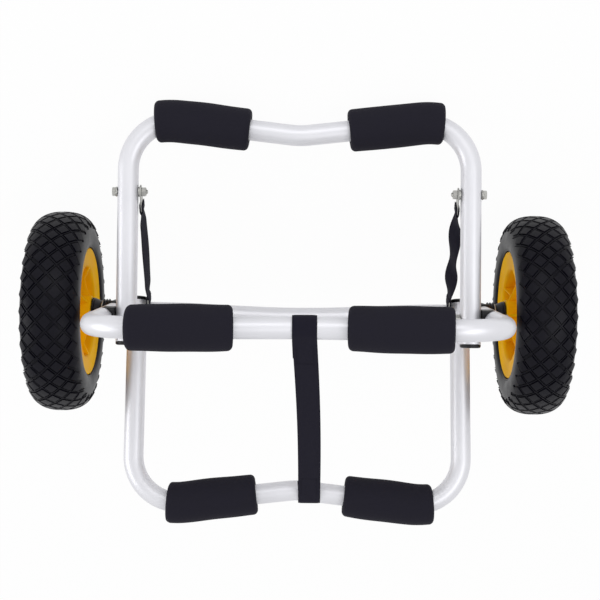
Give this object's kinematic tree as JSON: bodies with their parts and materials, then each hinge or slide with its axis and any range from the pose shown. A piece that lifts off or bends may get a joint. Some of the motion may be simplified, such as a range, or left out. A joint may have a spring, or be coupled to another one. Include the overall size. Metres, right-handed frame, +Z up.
{
  "type": "kayak cart",
  "caption": "Folding boat cart of padded U-shaped tubes on two fat tyred wheels, with a prop stand and a webbing strap across its cradle",
  "frame": {"origin": "On the ground, under the middle of the whole cart's box, with the cart standing on its tyres and on the stand's sleeves", "axes": "+X to the cart's right along the axle, +Y forward to the prop stand, +Z up"},
  "size_m": [0.7124, 0.4184, 0.3485],
  "materials": {
    "silver_tube": "satin silver coat",
    "steel": "zinc plated",
    "foam": "matte closed-cell foam",
    "webbing": "woven webbing",
    "black_plastic": "moulded, lightly textured",
    "tyre": "matte rubber, diamond tread",
    "yellow_plastic": "satin moulded plastic"
  },
  "bodies": {
    "main_frame": {"main_tube": "silver_tube", "main_pad_left": "foam", "main_pad_right": "foam", "axle_block_left": "black_plastic", "axle_block_right": "black_plastic", "saddle_left": "black_plastic", "hinge_bolt_left": "steel", "hinge_nut_left": "steel", "saddle_right": "black_plastic", "hinge_bolt_right": "steel", "hinge_nut_right": "steel", "axle_tube": "silver_tube", "axle_pin_left": "steel", "inner_washer_left": "steel", "wheel_spacer_left": "black_plastic", "outer_washer_left": "steel", "wheel_clip_left": "steel", "axle_pin_right": "steel", "inner_washer_right": "steel", "wheel_spacer_right": "black_plastic", "outer_washer_right": "steel", "wheel_clip_right": "steel", "side_strap_left": "webbing", "axle_tab_left": "steel", "side_strap_right": "webbing", "axle_tab_right": "steel", "pin_washer_left": "steel", "pin_washer_right": "steel", "centre_strap": "webbing"},
    "rear_arm": {"arm_tube": "silver_tube", "arm_pad_left": "foam", "arm_pad_right": "foam", "arm_cap_left": "black_plastic", "arm_cap_right": "black_plastic"},
    "stand": {"stand_tube": "silver_tube", "stand_pad_left": "foam", "stand_pad_right": "foam", "stand_cap_left": "black_plastic", "stand_cap_right": "black_plastic", "strap_washer_left": "steel", "strap_bolt_left": "steel", "tab_washer_left": "steel", "strap_nut_left": "steel", "strap_washer_right": "steel", "strap_bolt_right": "steel", "tab_washer_right": "steel", "strap_nut_right": "steel", "stand_tab_left": "steel", "stand_tab_right": "steel"},
    "wheel_left": {"tyre_left": "tyre", "rim_left": "yellow_plastic", "inner_bush_left": "black_plastic", "outer_bush_left": "black_plastic"},
    "wheel_right": {"tyre_right": "tyre", "rim_right": "yellow_plastic", "inner_bush_right": "black_plastic", "outer_bush_right": "black_plastic"}
  },
  "joints": [
    {"name": "stand_fold", "type": "hinge", "parent": "main_frame", "child": "stand", "pos_m": [0, 0.02571, 0.20254], "axis": [-1, 0, 0], "range_deg": [0, 50], "deforming": ["side_strap_left", "side_strap_right"]},
    {"name": "arm_fold", "type": "hinge", "parent": "main_frame", "child": "rear_arm", "pos_m": [0, -0.04431, 0.127], "axis": [-1, 0, 0], "range_deg": [0, 42], "deforming": ["centre_strap"]},
    {"name": "wheel_left_spin", "type": "hinge", "parent": "main_frame", "child": "wheel_left", "pos_m": [-0.3, -0.04431, 0.127], "axis": [1, 0, 0], "continuous": true},
    {"name": "wheel_right_spin", "type": "hinge", "parent": "main_frame", "child": "wheel_right", "pos_m": [0.3, -0.04431, 0.127], "axis": [1, 0, 0], "continuous": true}
  ]
}
